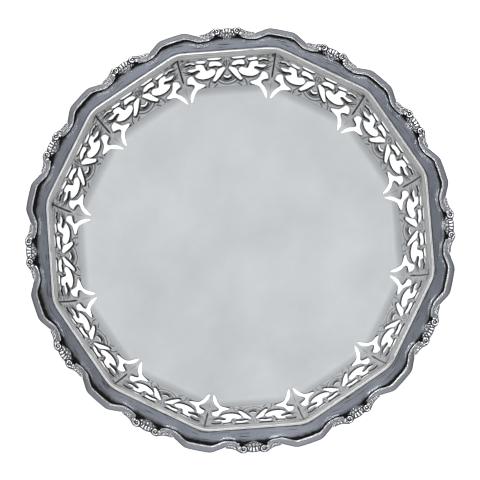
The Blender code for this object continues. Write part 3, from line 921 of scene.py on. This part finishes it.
def shell_pieces():
    """Twelve castings over the middles of the sides."""
    outline = softened(HALF_SHELL + mirrored(HALF_SHELL)[1:-1])
    arounds, radii = np.arange(-19.2, 19.3, SHELL_CELL), np.arange(131.6, 139.8, SHELL_CELL)
    around, radius = np.meshgrid(arounds, radii, indexing="ij")
    first, second, share, faces = cut_sheet(-outside(around, radius, outline))
    faces = [tuple(reversed(f)) for f in faces]
    a = around.flat[first] * (1 - share) + around.flat[second] * share
    r = radius.flat[first] * (1 - share) + radius.flat[second] * share
    gap = np.maximum(-outside(a, r, outline), 0)
    height, hollow = shell_relief(a, r)
    # the casting is rounded over at its outline
    shoulder = np.sqrt(1 - (1 - np.clip(gap / 0.8, 0, 1)) ** 2)
    height = np.minimum(0.35 + (height - 0.35) * (0.35 + 0.65 * shoulder), SHELL_HEIGHT)
    turn = a / SHELL_RADIUS + BORDER_TURN
    top = polar(r, turn, BORDER_Z + height)
    foot = polar(r, turn, np.full(r.shape, BORDER_Z))
    # painted shade in the gaps between the lobes, round the volutes and under the casting
    soot = np.clip(1.3 * hollow, 0, 1)
    foot_soot = np.full(r.shape, 0.8)
    track = np.stack([a, r, 0 * a], -1) * MM
    faces = [tuple(reversed(f)) for f in thickened(faces, len(a))[0]]
    piece = make_piece(
        "shell_01_cast", np.vstack([top, foot]), faces, [CAST], "border_silver", ["shell_01"], 60,
        soot=np.concatenate([soot, foot_soot]), tarnish=np.zeros(2 * len(a)), track=np.tile(track, (2, 1)),
    )
    repeat_round(piece, "shell", "cast")


shell_pieces()


def foot_piece():
    """The turned foot rim."""
    outer = [(2.0, 0.25), (2.0, 0.75), (1.8, 1.0), (1.2, 1.35), (0.6, 1.9), (0.3, 2.5), (0.1, 3.2)]
    top = [(0.0, FOOT_TOP), (-4.0, FOOT_TOP)]
    inner = [(-3.4, 2.9), (-2.8, 2.1), (-2.1, 1.1), (-1.6, 0.25), (-1.4, 0.0), (1.75, 0.0)]
    profile = np.array(outer + top + inner)
    angles = np.linspace(0, 2 * math.pi, 180, endpoint=False)
    rows = np.array([polar(FOOT_RADIUS + profile[:, 0], angle, profile[:, 1]) for angle in angles])
    points, faces = loft(rows, True, True)
    around = np.repeat(angles * FOOT_RADIUS, len(profile))
    across = np.tile(profile[:, 1] + profile[:, 0], len(angles))
    make_piece(
        "foot_rim_turned", points, faces, [RAIL], "gallery_silver", ["foot_rim"], 40,
        soot=0 * around, tarnish=0 * around, track=np.stack([around, across, 0 * around], -1) * MM,
    )


foot_piece()


# Stage, light and camera


def stage():
    """A plain white table, which glows a little and isn't seen in reflections."""
    bpy.ops.mesh.primitive_plane_add(size=30, location=(0, 0, -0.0002))
    table = bpy.context.object
    table.name = "table"
    n = Nodes("white_table")
    n.shader.inputs["Base Color"].default_value = (0.9, 0.9, 0.9, 1)
    n.shader.inputs["Roughness"].default_value = 0.6
    n.shader.inputs["Emission Color"].default_value = (1, 1, 1, 1)
    n.shader.inputs["Emission Strength"].default_value = 0.85
    table.data.materials.append(n.material)
    table.visible_glossy = False


# Direction of the view: the dish is turned a little to the camera, and seen from a little in front
VIEW_TURN = math.radians(-4.3)
VIEW_TILT = math.radians(8.0)
VIEW_DISTANCE = 2.4
LENS = 277.2

# Square lights, as (name, lean from the vertical, bearing, side, power)
LIGHT_DISTANCE = 1.8
LIGHTS = [
    ("far", 25, 108, 0.25, 5.7),
    ("near", 20, 285, 0.2, 1.2),
    ("overhead", 8, 60, 0.14, 2.0),
    ("right", 14, 340, 0.12, 1.5),
    ("left", 14, 215, 0.12, 1.5),
]
LIGHTER_ENDS = 0.38  # how much lighter the room is ahead of the camera and behind it, and darker at its sides


def from_zenith(lean, bearing, distance):
    """A place this far from the dish, leaning from the vertical towards a bearing (0 is to the right)."""
    lean, bearing = math.radians(lean), math.radians(bearing) + VIEW_TURN
    flat = math.sin(lean) * distance
    return (math.cos(bearing) * flat, math.sin(bearing) * flat, math.cos(lean) * distance)


def softbox(name, place, side, power):
    """A square light turned to the dish."""
    light = bpy.data.lights.new(name, "AREA")
    light.shape = "RECTANGLE"
    light.size, light.size_y = side, side
    light.energy = power
    obj = bpy.data.objects.new(name, light)
    obj.location = place
    obj.rotation_euler = (Vector((0, 0, 0.02)) - Vector(place)).to_track_quat("-Z", "Y").to_euler()
    bpy.context.scene.collection.objects.link(obj)


def camera():
    """A long lens, nearly overhead, aimed close to the middle of the border."""
    right = Vector((math.cos(VIEW_TURN), math.sin(VIEW_TURN), 0))
    ahead = Vector((-math.sin(VIEW_TURN), math.cos(VIEW_TURN), 0))
    target = Vector((0, 0, (BORDER_Z + 1.0) * MM)) + right * -0.0001 - ahead * 0.0010
    data = bpy.data.cameras.new("camera")
    data.lens = LENS
    data.sensor_width = 36
    cam = bpy.data.objects.new("camera", data)
    back = -ahead * math.sin(VIEW_TILT) + Vector((0, 0, 1)) * math.cos(VIEW_TILT)
    cam.location = target + back * VIEW_DISTANCE
    up = ahead * math.cos(VIEW_TILT) + Vector((0, 0, 1)) * math.sin(VIEW_TILT)
    turn = Matrix((up.cross(back), up, back)).transposed().to_4x4()
    cam.matrix_world = Matrix.Translation(cam.location) @ turn
    bpy.context.scene.collection.objects.link(cam)
    bpy.context.scene.camera = cam


def studio_world():
    """Grey-blue all round, darker towards the horizon and dark below it."""
    world = bpy.data.worlds.new("studio")
    bpy.context.scene.world = world
    world.use_nodes = True
    tree = world.node_tree
    where = tree.nodes.new("ShaderNodeTexCoord").outputs["Generated"]
    split = tree.nodes.new("ShaderNodeSeparateXYZ")
    tree.links.new(where, split.inputs[0])
    ramp = tree.nodes.new("ShaderNodeValToRGB")
    stops = ramp.color_ramp.elements
    shades = [(0.0, 0.04), (0.32, 0.05), (0.42, 0.20), (0.55, 0.25), (0.80, 0.26), (1.0, 0.27)]
    while len(stops) < len(shades):
        stops.new(0.5)
    for stop, (place, shade) in zip(stops, shades):
        stop.position = place
        stop.color = (shade * 0.94, shade * 0.98, shade * 1.10, 1)

    def combined(operation, *values):
        """The output of a Math node."""
        node = tree.nodes.new("ShaderNodeMath")
        node.operation = operation
        for socket, value in zip(node.inputs, values):
            if isinstance(value, bpy.types.NodeSocket):
                tree.links.new(value, socket)
            else:
                socket.default_value = value
        return node.outputs[0]

    east, north = split.outputs["X"], split.outputs["Y"]
    tree.links.new(combined("MULTIPLY_ADD", split.outputs["Z"], 0.5, 0.5), ramp.inputs[0])
    lighter = combined("SUBTRACT", combined("MULTIPLY", north, north), combined("MULTIPLY", east, east))
    background = tree.nodes["Background"]
    tree.links.new(ramp.outputs[0], background.inputs["Color"])
    tree.links.new(combined("MULTIPLY_ADD", lighter, LIGHTER_ENDS, 1.0), background.inputs["Strength"])


stage()
studio_world()
for light_name, lean, bearing, side, power in LIGHTS:
    softbox(light_name, from_zenith(lean, bearing, LIGHT_DISTANCE), side, power)
camera()
bpy.context.scene.view_settings.view_transform = "Standard"
